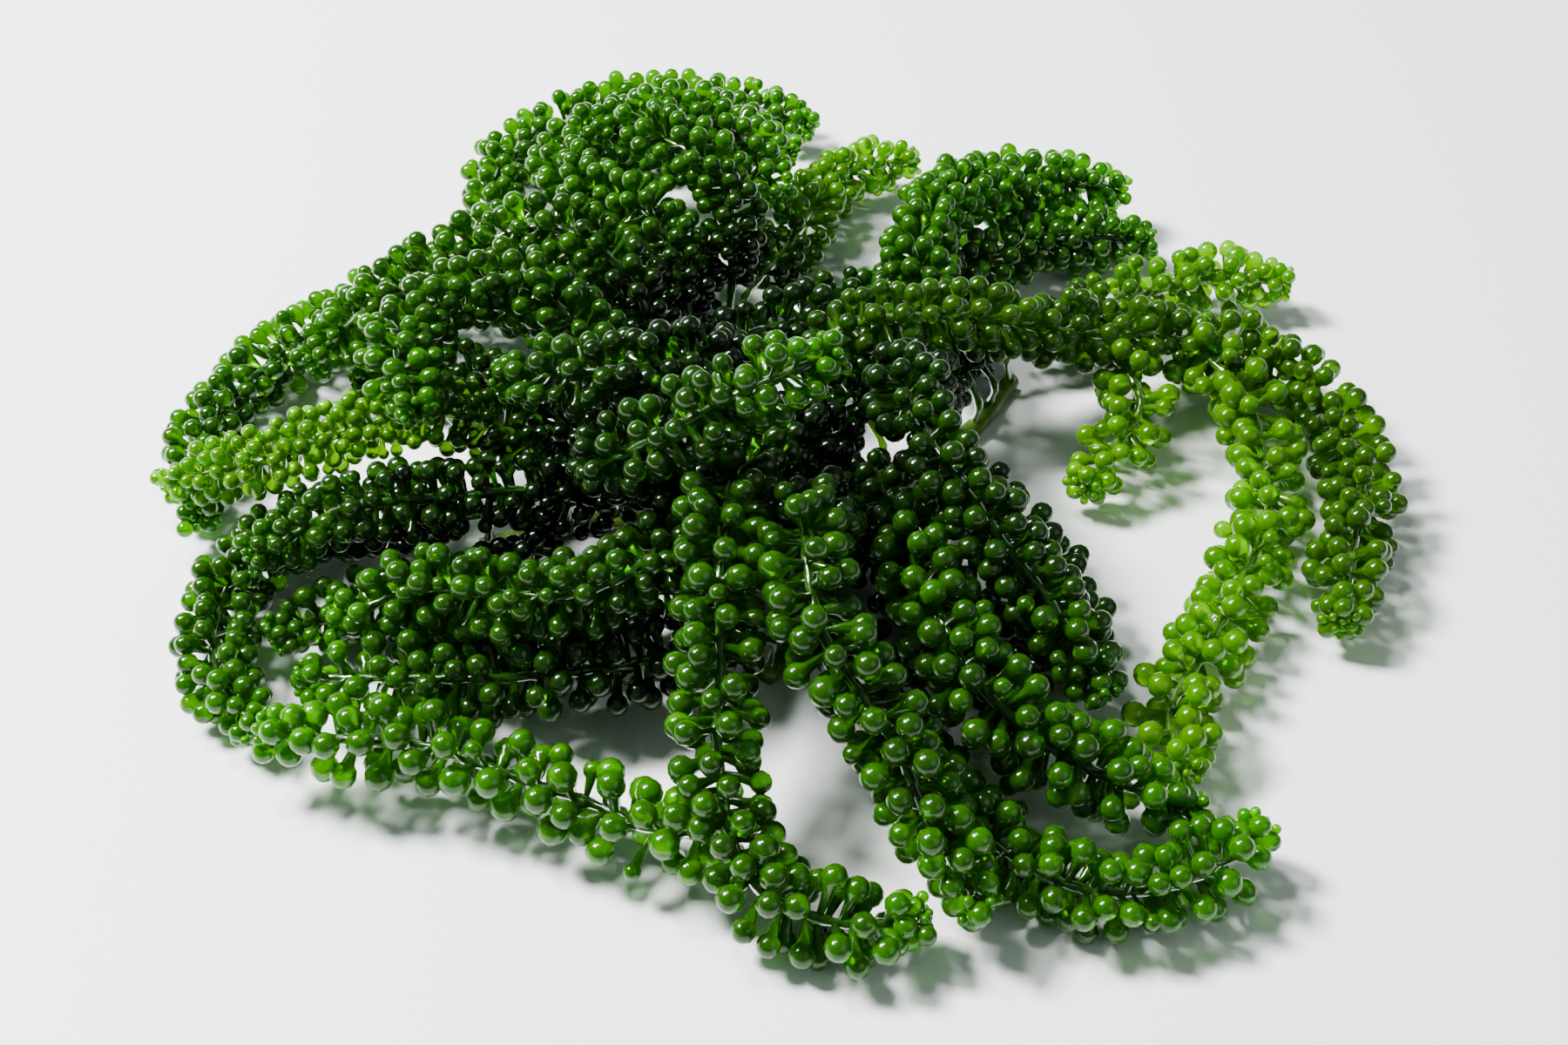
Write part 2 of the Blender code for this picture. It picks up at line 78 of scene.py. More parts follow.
# How the fronds are bent clear of one another, as in the part's source
SAMPLE_STEP = 3.0
MAIN_FOOT_SHARE = 0.02
BRANCH_FOOT_SHARE = 0.14
LAST_FOOT_SHARE = 0.98
FOOT_RISE = 3.0
PACKED_RADIUS = 4.2
CLEARING_ROUNDS = 420
SINKING_ROUNDS = 260
SINK_STEP = 0.035
HOLD = 0.012
STIFFNESS = 0.45
FORK_REACH = 12.0
FOOT_CONTACT_SHARE = 0.33
PUSH = 0.25
PAIR_MARGIN = 2.5
PAIR_ROUNDS = 15

# The same in points of a line: its foot, which may touch the runner, its start, which may lie low, and how
# near along it points don't push one another
FOOT_POINTS = 2
LOW_POINTS = 3
NEIGHBOUR_POINTS = 4

# How lines are drawn: steps between given points, fewest points, how steep counts as upright, and every how
# many fine points the axis takes one
CURVE_STEPS = 16
FEWEST_POINTS = 3
UPRIGHT = 0.9
THINNING = 4

# How the beads of the berries are slid apart round their axes
CROWD_ROUNDS = 24
CROWD_PAIR_ROUNDS = 4
CROWD_MARGIN = 0.6
CROWD_SHARE = 0.93
CROWD_HOLD = 0.06
CROWD_REACH = (0.86, 1.12)
FLOOR_GAP = 0.05

# Names of the attributes that the berries' finish reads: how light a berry is, which also carries the painted
# shade near each frond's foot, and how far down its stalk a point is
TINT = "tint"
DOWN = "down_stalk"

# The runner's routes in plan, in millimetres, and the fronds in the order in which they stand along it. The
# tables name a frond by the end of its node's name, after FROND.
FROND = "frond_"
RUNNER_ROUTES = {
    MAIN: [(-33, -8), (-22, -4), (-11, -3), (0, 0), (11, 4), (21, 11), (27, 21)],
    "back": [(-13, -3), (-15, 9), (-11, 21), (-4, 33)],
    "front": [(2, 1), (5, -8), (4, -18), (-2, -27)],
}
FEET = {
    MAIN: ["left_edge", "left_low", "left_pale", "middle_tip", "left_under", "left_inner", "left_broad",
           "middle_low", "middle_left", "front_left", "right_arch", "right_low", "right_high", "back_right",
           "back_right_inner", "back_right_low"],
    "back": ["left_fill", "left_outer", "middle_back", "left_upper", "back_arc", "back_crown", "back_under",
             "back_short", "back_tip"],
    "front": ["front_right", "right_fill", "front_middle", "front_low", "front_fill"],
}

# Routes of the fronds, in millimetres: plan x, plan y and height of the axis. A main route starts at the
# first point above its foot, and a fork starts on the main route.
FROND_ROUTES = {
    "right_arch": {
        MAIN: [(5, 8, 17), (18, 11, 18), (31, 15, 13), (44, 19, 9), (55, 18, 7), (62, 9, 5), (63, -3, 5),
               (60, -13, 5), (57, -23, 5)],
        "long_fork": [(46, 19, 9), (52, 10, 8), (53, 1, 6), (52, -8, 5), (48, -17, 5), (43, -27, 5),
                      (38, -36, 5), (38, -44, 5)],
        "short_fork": [(37, 17, 10), (40, 9, 8), (37, 4, 6), (33, -2, 5)],
    },
    "front_left": {
        MAIN: [(-3, -15, 18), (-5, -29, 21), (-5, -40, 17), (-5, -49, 12), (-2, -57, 7), (5, -60, 5),
               (13, -60, 5)],
        "left_fork": [(-4, -53, 9), (-11, -51, 7), (-18, -47, 7), (-26, -44, 8), (-34, -41, 9),
                      (-42, -40, 9), (-49, -39, 9)],
    },
    "front_middle": {
        MAIN: [(5, -20, 17), (3, -29, 23), (5, -39, 20), (11, -46, 15), (15, -52, 10), (19, -58, 6)],
    },
    "front_right": {
        MAIN: [(9, -16, 13), (13, -29, 16), (17, -40, 15), (23, -46, 12), (31, -50, 9), (39, -52, 6)],
    },
    "front_low": {
        MAIN: [(7, -29, 6), (11, -40, 5), (17, -50, 5), (25, -55, 5), (34, -53, 5), (41, -47, 5)],
    },
    "front_fill": {MAIN: [(-10, -29, 7), (-18, -32, 8), (-28, -34, 9), (-38, -34, 9), (-47, -33, 8)]},
    "right_low": {MAIN: [(18, -3, 8), (25, -11, 6), (29, -20, 5), (30, -31, 5)]},
    "right_high": {MAIN: [(11, -3, 18), (11, -15, 20), (16, -24, 16), (22, -30, 11), (27, -37, 6)]},
    "right_fill": {MAIN: [(11, -16, 6), (18, -22, 6), (22, -31, 6), (23, -42, 5)]},
    "left_broad": {
        MAIN: [(-12, -14, 14), (-14, -25, 17), (-21, -30, 17), (-29, -29, 16), (-37, -26, 14),
               (-45, -27, 11)],
    },
    "left_low": {MAIN: [(-26, -14, 6), (-33, -19, 5), (-43, -22, 5), (-51, -26, 5)]},
    "left_edge": {
        MAIN: [(-41, -9, 6), (-50, -9, 6), (-56, -14, 5), (-57, -23, 5), (-55, -31, 5), (-50, -37, 5)],
    },
    "left_under": {MAIN: [(-26, -7, 6), (-36, -9, 6), (-46, -11, 6), (-54, -17, 5)]},
    "left_pale": {MAIN: [(-29, -1, 11), (-38, 0, 13), (-46, -3, 12), (-54, -7, 10), (-64, -8, 7)]},
    "left_outer": {
        MAIN: [(-21, 19, 6), (-31, 29, 6), (-43, 31, 6), (-54, 26, 5), (-61, 16, 5), (-65, 5, 5),
               (-63, -7, 5)],
    },
    "left_upper": {MAIN: [(-18, 22, 15), (-27, 28, 18), (-38, 27, 15), (-47, 22, 12), (-53, 14, 10)]},
    "left_inner": {MAIN: [(-21, 8, 15), (-30, 14, 18), (-38, 10, 16), (-41, 2, 16), (-38, -7, 15)]},
    "left_fill": {MAIN: [(-22, 10, 6), (-30, 17, 6), (-39, 21, 6), (-47, 18, 6)]},
    "back_arc": {
        MAIN: [(-19, 31, 6), (-29, 40, 6), (-36, 49, 5), (-37, 60, 5), (-31, 70, 5), (-20, 76, 5),
               (-7, 76, 5), (3, 71, 5)],
    },
    "back_crown": {
        MAIN: [(-15, 33, 15), (-25, 42, 14), (-27, 51, 13), (-20, 58, 12), (-9, 60, 11), (1, 58, 8)],
    },
    "back_under": {
        MAIN: [(-11, 37, 6), (-18, 46, 5), (-25, 54, 5), (-26, 61, 5), (-18, 67, 5), (-8, 66, 5)],
    },
    "back_short": {MAIN: [(-8, 37, 19), (-16, 44, 21), (-16, 51, 20), (-7, 50, 18), (-1, 43, 14)]},
    "back_tip": {MAIN: [(1, 43, 6), (4, 53, 6), (9, 61, 5), (16, 62, 5)]},
    "back_right": {MAIN: [(16, 26, 12), (18, 36, 13), (24, 45, 11), (33, 51, 8), (43, 53, 6)]},
    "back_right_inner": {MAIN: [(19, 29, 9), (26, 38, 8), (35, 44, 6), (45, 45, 5)]},
    "back_right_low": {MAIN: [(33, 25, 6), (43, 32, 5), (53, 36, 5), (61, 35, 5)]},
    "middle_tip": {MAIN: [(-17, -18, 16), (-12, -21, 22), (-4, -20, 27), (5, -16, 29)]},
    "middle_left": {MAIN: [(-6, 0, 20), (-11, -6, 25), (-20, -7, 25), (-28, -4, 22)]},
    "middle_back": {MAIN: [(-5, 15, 13), (4, 19, 14), (12, 25, 12), (13, 33, 8)]},
    "middle_low": {MAIN: [(0, -9, 9), (-9, -15, 9), (-20, -19, 9), (-31, -20, 7), (-40, -21, 5)]},
}


class Tone(Enum):
    """How light the green of a frond is: 0 for the darkest and 1 for the lightest. The darkest tone also
    paints shade on fronds lying deep in the clump.
    """

    DEEP_SHADED = 0.23
    MIDDLE = 0.42
    FRESH = 0.56
    PALE = 0.85


class Slot(Enum):
    """The record's material slots."""

    DARK = "dark_frond"
    BRIGHT = "bright_frond"
    RUNNER = "runner"


@dataclass(frozen=True)
class FrondLook:
    """How one line of a frond looks.

    Args:
        tone: How light its green is.
        berry: Size of its berries, as a share of the full size.
        cover: How densely they cover it: 1 is as close as balls can lie on a tube.
        shade: Length of a main line over which the painted shade at its foot fades into their own green, in
            millimetres.
    """

    tone: Tone
    berry: float
    cover: float = 0.54
    shade: float = 34.0

    def reach(self) -> float:
        """Radius of the full frond, which shrinks half as much as its berries, in millimetres."""
        return FROND_RADIUS * (1 + min(1.0, self.berry)) / 2

    def pitch(self) -> float:
        """Length of axis for each berry, in millimetres."""
        radius = BERRY_RADIUS * self.berry
        return math.sqrt(3) * radius**2 / (math.pi * self.cover * (self.reach() - radius))


# Each line's look: tone, berry size, cover and the length of the painted shade at a main line's foot. Fronds
# low in the clump take the darkest tone, which is partly their deeper green and partly painted shade.
LOOKS = {
    ("right_arch", MAIN): FrondLook(Tone.MIDDLE, 0.95, 0.6, 24.0),
    ("right_arch", "long_fork"): FrondLook(Tone.PALE, 1.0, 0.5),
    ("right_arch", "short_fork"): FrondLook(Tone.PALE, 0.95, 0.44),
    ("front_left", MAIN): FrondLook(Tone.MIDDLE, 1.0, 0.58, 46.0),
    ("front_left", "left_fork"): FrondLook(Tone.FRESH, 1.1, 0.52),
    ("front_middle", MAIN): FrondLook(Tone.MIDDLE, 1.02, 0.62, 26.0),
    ("front_right", MAIN): FrondLook(Tone.MIDDLE, 1.0, 0.62, 26.0),
    ("front_low", MAIN): FrondLook(Tone.FRESH, 0.92, 0.56),
    ("front_fill", MAIN): FrondLook(Tone.MIDDLE, 0.95),
    ("right_fill", MAIN): FrondLook(Tone.DEEP_SHADED, 0.95),
    ("right_high", MAIN): FrondLook(Tone.DEEP_SHADED, 0.95, 0.6),
    ("right_low", MAIN): FrondLook(Tone.DEEP_SHADED, 0.95),
    ("middle_tip", MAIN): FrondLook(Tone.MIDDLE, 0.95, 0.6, 44.0),
    ("middle_left", MAIN): FrondLook(Tone.DEEP_SHADED, 0.92, 0.6, 44.0),
    ("middle_back", MAIN): FrondLook(Tone.DEEP_SHADED, 0.92, 0.6),
    ("middle_low", MAIN): FrondLook(Tone.DEEP_SHADED, 0.92, 0.6, 60.0),
    ("left_broad", MAIN): FrondLook(Tone.MIDDLE, 0.9, 0.62, 46.0),
    ("left_low", MAIN): FrondLook(Tone.DEEP_SHADED, 0.88, 0.58),
    ("left_under", MAIN): FrondLook(Tone.DEEP_SHADED, 0.85, 0.6),
    ("left_edge", MAIN): FrondLook(Tone.MIDDLE, 0.85, 0.62),
    ("left_pale", MAIN): FrondLook(Tone.PALE, 0.72, 0.6, 24.0),
    ("left_outer", MAIN): FrondLook(Tone.MIDDLE, 0.9, 0.58, 24.0),
    ("left_upper", MAIN): FrondLook(Tone.MIDDLE, 0.95, 0.6, 20.0),
    ("left_inner", MAIN): FrondLook(Tone.MIDDLE, 0.9, 0.6, 24.0),
    ("left_fill", MAIN): FrondLook(Tone.DEEP_SHADED, 0.85, 0.58),
    ("back_arc", MAIN): FrondLook(Tone.FRESH, 0.88, 0.56, 20.0),
    ("back_crown", MAIN): FrondLook(Tone.FRESH, 0.88, 0.6, 18.0),
    ("back_under", MAIN): FrondLook(Tone.MIDDLE, 0.88, 0.54, 20.0),
    ("back_short", MAIN): FrondLook(Tone.FRESH, 0.88, 0.6, 18.0),
    ("back_tip", MAIN): FrondLook(Tone.PALE, 0.88, 0.56, 16.0),
    ("back_right", MAIN): FrondLook(Tone.FRESH, 0.9, 0.72, 18.0),
    ("back_right_inner", MAIN): FrondLook(Tone.MIDDLE, 0.9, 0.7, 18.0),
    ("back_right_low", MAIN): FrondLook(Tone.PALE, 0.88, 0.58, 20.0),
}
BRIGHT_FRONDS = ("right_arch", "left_pale", "back_tip", "back_right_low")


def smooth_line(points: list[Point] | np.ndarray, step: float = SAMPLE_STEP) -> np.ndarray:
    """Draws a smooth curve through points.

    Args:
        points: The points that the curve goes through.
        step: Distance between the points given back.

    Returns:
        Evenly spaced points along the curve.
    """
    knots = np.array(points, float)
    knots = np.vstack([2 * knots[0] - knots[1], knots, 2 * knots[-1] - knots[-2]])
    t = np.linspace(0, 1, CURVE_STEPS, endpoint=False)[:, None]
    pieces = []
    for a, b, c, d in zip(knots, knots[1:], knots[2:], knots[3:]):
        bend = a - 2.5 * b + 2 * c - d / 2
        pieces.append(b + (c - a) * t / 2 + bend * t**2 + (1.5 * (b - c) + (d - a) / 2) * t**3)
    fine = np.vstack(pieces + [knots[-2:-1]])
    along = lengths_along(fine)
    even = np.linspace(0, along[-1], max(FEWEST_POINTS, round(along[-1] / step) + 1))
    return np.column_stack([np.interp(even, along, fine[:, i]) for i in range(3)])


def lengths_along(line: np.ndarray) -> np.ndarray:
    """Distance of each point of a line from its start."""
    return np.concatenate([[0], np.cumsum(np.linalg.norm(np.diff(line, axis=0), axis=1))])


def smoothstep(x: np.ndarray | float) -> np.ndarray | float:
    """0 below 0, 1 above 1, and a smooth rise between."""
    x = np.clip(x, 0, 1)
    return x * x * (3 - 2 * x)


def swell(line: np.ndarray, fork: bool) -> np.ndarray:
    """How far a frond has filled out along its line.

    Args:
        line: Points along its axis.
        fork: Whether the line is a fork, which is full from its start.

    Returns:
        For each point a share of the full thickness, smaller at the foot and towards the tip.
    """
    along = lengths_along(line)
    rise = FOOT_CONTACT_SHARE + (1 - FOOT_CONTACT_SHARE) * smoothstep(along / FOOT_TAPER)
    if fork:
        rise = np.ones(len(line))
    return rise * (TIP_SHARE + (1 - TIP_SHARE) * smoothstep((along[-1] - along) / TIP_TAPER))


def frames_along(line: np.ndarray) -> list[Directions]:
    """Works out directions that don't twist along a line.

    Args:
        line: Points along a curve.

    Returns:
        For each point the tangent and two directions square to it.
    """
    tangents = np.gradient(line, axis=0)
    tangents /= np.linalg.norm(tangents, axis=1)[:, None]
    across = np.cross(tangents[0], (0, 0, 1) if abs(tangents[0][2]) < UPRIGHT else (1, 0, 0))
    frames = []
    for tangent in tangents:
        across = across - tangent * (across @ tangent)
        across /= np.linalg.norm(across)
        frames.append((tangent, across, np.cross(tangent, across)))
    return frames


class Tangle:
    """Every frond's line as one set of points, which sink, and push one another apart."""

    def __init__(self, lines: Lines, runner: dict[str, np.ndarray]) -> None:
        """Takes the lines before they are bent clear.

        Args:
            lines: Points of every frond's lines along their routes.
            runner: Points of the runner's branches.
        """
        self.keys = list(lines)
        self.starts = np.cumsum([0] + [len(lines[key]) for key in self.keys])
        self.rest = np.vstack([lines[key] for key in self.keys])
        self.ground = np.vstack(list(runner.values()))
        counts = [len(lines[key]) for key in self.keys]
        self.line = np.repeat(np.arange(len(self.keys)), counts)
        self.order = np.concatenate([np.arange(count) for count in counts])
        self.fill = np.concatenate([swell(lines[key], key[1] != MAIN) for key in self.keys])
        numbers = np.arange(len(self.rest))
        self.before = np.where(self.order == 0, numbers, numbers - 1)
        self.after = np.where(np.isin(numbers, self.starts[1:] - 1), numbers, numbers + 1)
        self.feet = np.array([self.starts[i] for i, key in enumerate(self.keys) if key[1] == MAIN])
        self.forks = {self.starts[i]: self.stem_point(i) for i, key in enumerate(self.keys) if key[1] != MAIN}
        self.rest[list(self.forks)] = self.rest[list(self.forks.values())]
        self.spot = self.rest.copy()
        self.reach = self.reaches()
        self.lowest = np.where(self.order < LOW_POINTS, 0.0, FROND_RADIUS * self.fill)

    def stem_point(self, fork: int) -> int:
        """Finds the point of its frond's main line that a fork starts from.

        Args:
            fork: Number of the fork's line.

        Returns:
            The number of that point.
        """
        stem = self.line == self.keys.index((self.keys[fork][0], MAIN))
        away = np.linalg.norm(self.rest - self.rest[self.starts[fork]], axis=1)
        return int(np.argmin(np.where(stem, away, np.inf)))

    def reaches(self) -> np.ndarray:
        """How far apart each two points have to be: nothing for neighbours on a line and round a fork."""
        radius = PACKED_RADIUS * self.fill
        reach = radius[:, None] + radius[None, :]
        same_line = self.line[:, None] == self.line[None, :]
        reach[same_line & (np.abs(self.order[:, None] - self.order[None, :]) < NEIGHBOUR_POINTS)] = 0
        for fork, stem in self.forks.items():
            on_fork = (self.line == self.line[fork]) & (self.order * SAMPLE_STEP < FORK_REACH)
            steps = np.abs(self.order - self.order[stem])
            on_stem = (self.line == self.line[stem]) & (steps * SAMPLE_STEP < FORK_REACH)
            reach[np.ix_(on_fork, on_stem)] = 0
            reach[np.ix_(on_stem, on_fork)] = 0
        return reach

    def near_pairs(self) -> tuple[np.ndarray, np.ndarray]:
        """The pairs of points that are close enough to meet within a few rounds."""
        away = np.linalg.norm(self.spot[:, None] - self.spot[None, :], axis=2)
        return np.nonzero(np.triu((self.reach > 0) & (away < self.reach + PAIR_MARGIN), 1))

    def push_apart(self, pairs: tuple[np.ndarray, np.ndarray]) -> None:
        """Moves the two points of each pair that is too close a little away from each other.

        Args:
            pairs: Numbers of the first and of the second points.
        """
        first, second = pairs
        apart = self.spot[first] - self.spot[second]
        away = np.linalg.norm(apart, axis=1) + TINY
        step = apart * (PUSH * np.clip(self.reach[first, second] - away, 0, None) / away)[:, None]
        np.add.at(self.spot, first, step)
        np.add.at(self.spot, second, -step)

    def lift_off_runner(self) -> None:
        """Moves what crosses the runner off it, apart from each frond's own foot."""
        apart = self.spot[:, None] - self.ground[None, :]
        away = np.linalg.norm(apart, axis=2) + TINY
        points = np.arange(len(self.spot))
        nearest = np.argmin(away, axis=1)
        needed = np.where(self.order < FOOT_POINTS, 0, PACKED_RADIUS * self.fill + RUNNER_RADIUS + GAP)
        share = np.clip(needed - away[points, nearest], 0, None) / away[points, nearest]
        self.spot += apart[points, nearest] * (2 * PUSH * share)[:, None]

    def smooth(self) -> None:
        """Shares each point's move with its neighbours, and keeps feet and forks where they grow."""
        moved = self.spot - self.rest
        moved += STIFFNESS * ((moved[self.before] + moved[self.after]) / 2 - moved)
        self.spot = self.rest + moved
        self.spot[:, 2] = np.maximum(self.spot[:, 2], self.lowest)
        self.spot[self.feet] = self.rest[self.feet]
        self.spot[self.feet + 1] = self.rest[self.feet + 1]
        self.spot[list(self.forks)] = self.spot[list(self.forks.values())]

    def settle(self) -> Lines:
        """Sinks and clears the lines, and gives them back."""
        for turn in range(SINKING_ROUNDS + CLEARING_ROUNDS):
            if turn % PAIR_ROUNDS == 0:
                pairs = self.near_pairs()
            self.push_apart(pairs)
            self.lift_off_runner()
            if turn < SINKING_ROUNDS:
                self.spot[:, 2] -= SINK_STEP
                self.spot += HOLD * (self.rest - self.spot)
            self.smooth()
        return {key: self.spot[self.starts[i]:self.starts[i + 1]] for i, key in enumerate(self.keys)}


def new_material(name: str, settings: dict[str, float | Point]) -> bpy.types.Material:
    """Makes a material.

    Args:
        name: Its name.
        settings: Values of its shader's inputs.

    Returns:
        The material.
    """
    material = bpy.data.materials.new(name)
    material.use_nodes = True
    for setting, value in settings.items():
        material.node_tree.nodes["Principled BSDF"].inputs[setting].default_value = value
    return material


def mottling(tree: bpy.types.NodeTree, scale: float, detail: float) -> bpy.types.NodeSocket:
    """Adds a mottling on Object coordinates to a material.

    Args:
        tree: The material's node tree.
        scale: Fineness of the mottling, in bumps a metre.
        detail: How much finer detail it has.

    Returns:
        The socket that gives how strong the mottling is.
    """
    place = tree.nodes.new("ShaderNodeTexCoord")
    mottle = tree.nodes.new("ShaderNodeTexNoise")
    mottle.inputs["Scale"].default_value = scale
    mottle.inputs["Detail"].default_value = detail
    tree.links.new(place.outputs["Object"], mottle.inputs["Vector"])
    return mottle.outputs["Fac"]


@dataclass(frozen=True)
class BerryFinish:
    """Wet, see-through green berries on paler stalks.

    Args:
        name: Name of the material.
        deep: Colour of the darkest berries, which is the colour of the painted shade at the fronds' feet.
        light: Colour of the lightest berries.
        stalk: Colour of the stalks and the axis.
        clearness: Share of the light that passes through the flesh.
        roughness: Roughness of the flesh, which blurs what shows through it.
        refraction: Index of refraction of the watery flesh.
        glow: Share of the light that spreads inside the flesh.
        glow_reach: How far red, green and blue light spread, in millimetres.
        mottle_scale: Fineness of the faint mottling, in bumps a metre.
        mottle_detail: How much finer detail it has.
        mottle_depth: How much it changes the tint.
        wetness: Strength of the film of water.
        film_roughness: Roughness of that film.
    """

    name: str
    deep: Colour
    light: Colour
    stalk: Colour
    clearness: float
    roughness: float = 0.22
    refraction: float = 1.36
    glow: float = 0.7
    glow_reach: Point = (0.5, 1.2, 0.2)
    mottle_scale: float = 900.0
    mottle_detail: float = 3.0
    mottle_depth: float = 0.25
    wetness: float = 0.7
    film_roughness: float = 0.02

    def material(self) -> bpy.types.Material:
        """Makes the material, which reads each berry's tint and how far down its stalk a point is."""
        material = new_material(self.name, {
            "Roughness": self.roughness,
            "IOR": self.refraction,
            "Transmission Weight": self.clearness,
            "Subsurface Weight": self.glow,
            "Subsurface Radius": self.glow_reach,
            "Subsurface Scale": MM,
            "Coat Weight": self.wetness,
            "Coat Roughness": self.film_roughness,
        })
        nodes, links = material.node_tree.nodes, material.node_tree.links
        tint = nodes.new("ShaderNodeAttribute")
        tint.attribute_name = TINT
        down = nodes.new("ShaderNodeAttribute")
        down.attribute_name = DOWN
        shift = nodes.new("ShaderNodeMath")
        shift.operation = "MULTIPLY_ADD"
        shift.inputs[1].default_value = self.mottle_depth
        centred = nodes.new("ShaderNodeMath")
        centred.operation = "SUBTRACT"
        centred.inputs[1].default_value = self.mottle_depth / 2
        flesh = nodes.new("ShaderNodeMix")
        flesh.data_type = "RGBA"
        flesh.inputs["A"].default_value = self.deep
        flesh.inputs["B"].default_value = self.light
        skin = nodes.new("ShaderNodeMix")
        skin.data_type = "RGBA"
        skin.inputs["B"].default_value = self.stalk
        mottle = mottling(material.node_tree, self.mottle_scale, self.mottle_detail)
        links.new(mottle, shift.inputs[0])
        links.new(tint.outputs["Fac"], shift.inputs[2])
        links.new(shift.outputs[0], centred.inputs[0])
        links.new(centred.outputs[0], flesh.inputs["Factor"])
        links.new(down.outputs["Fac"], skin.inputs["Factor"])
        links.new(flesh.outputs["Result"], skin.inputs["A"])
        links.new(skin.outputs["Result"], nodes["Principled BSDF"].inputs["Base Color"])
        return material


@dataclass(frozen=True)
class PlainFinish:
    """A finish of one colour with a faint mottling.

    Args:
        name: Name of the material.
        colour: Its main colour.
        mottled: The colour of its mottling.
        roughness: Its roughness.
        mottle_scale: Fineness of the mottling, in bumps a metre.
        mottle_detail: How much finer detail it has.
        glow: Share of the light that spreads inside.
    """

    name: str
    colour: Colour
    mottled: Colour
    roughness: float
    mottle_scale: float
    mottle_detail: float = 2.0
    glow: float = 0.0

    def material(self) -> bpy.types.Material:
        """Makes the material."""
        settings = {"Roughness": self.roughness, "Subsurface Weight": self.glow, "Subsurface Scale": MM}
        material = new_material(self.name, settings)
        nodes, links = material.node_tree.nodes, material.node_tree.links
        blend = nodes.new("ShaderNodeMix")
        blend.data_type = "RGBA"
        blend.inputs["A"].default_value = self.colour
        blend.inputs["B"].default_value = self.mottled
        mottle = mottling(material.node_tree, self.mottle_scale, self.mottle_detail)
        links.new(mottle, blend.inputs["Factor"])
        links.new(blend.outputs["Result"], nodes["Principled BSDF"].inputs["Base Color"])
        return material


DARK_BERRIES = BerryFinish("wet_dark_berries", deep=(0.001, 0.018, 0.001, 1.0),
                           light=(0.125, 0.50, 0.006, 1.0), stalk=(0.04, 0.17, 0.006, 1.0), clearness=0.72)
BRIGHT_BERRIES = BerryFinish("wet_bright_berries", deep=(0.003, 0.06, 0.001, 1.0),
                             light=(0.20, 0.52, 0.010, 1.0), stalk=(0.14, 0.38, 0.02, 1.0), clearness=0.75)
RUNNER_SKIN = PlainFinish("moist_runner", colour=(0.08, 0.17, 0.02, 1.0), mottled=(0.15, 0.26, 0.05, 1.0),
                          roughness=0.28, mottle_scale=600.0, glow=0.4)
FLOOR_PAINT = PlainFinish("pale_floor", colour=(0.78, 0.80, 0.79, 1.0), mottled=(0.80, 0.82, 0.81, 1.0),
                          roughness=0.55, mottle_scale=8.0)


def as_mesh(shape: bmesh.types.BMesh, name: str) -> bpy.types.Mesh:
    """Turns a shape into a mesh.

    Args:
        shape: The shape, which is freed.
        name: The mesh's name.

    Returns:
        That mesh.
    """
    mesh = bpy.data.meshes.new(name)
    shape.to_mesh(mesh)
    shape.free()
    return mesh


def show(name: str, content: bpy.types.ID) -> bpy.types.Object:
    """Puts something in the scene.

    Args:
        name: Name of its object.
        content: A mesh, a lamp or a camera.

    Returns:
        The object.
    """
    shown = bpy.data.objects.new(name, content)
    bpy.context.scene.collection.objects.link(shown)
    return shown


@dataclass
class Berry:
    """One berry or bud. Lengths are in millimetres.

    Args:
        root: The point on the axis that it grows from.
        bead: The middle of its bead.
        radius: The bead's radius.
        tint: How light it is, from 0 to 1.
        owner: Number of the line that it grows on.
    """

    root: np.ndarray
    bead: np.ndarray
    radius: float
    tint: float
    owner: int


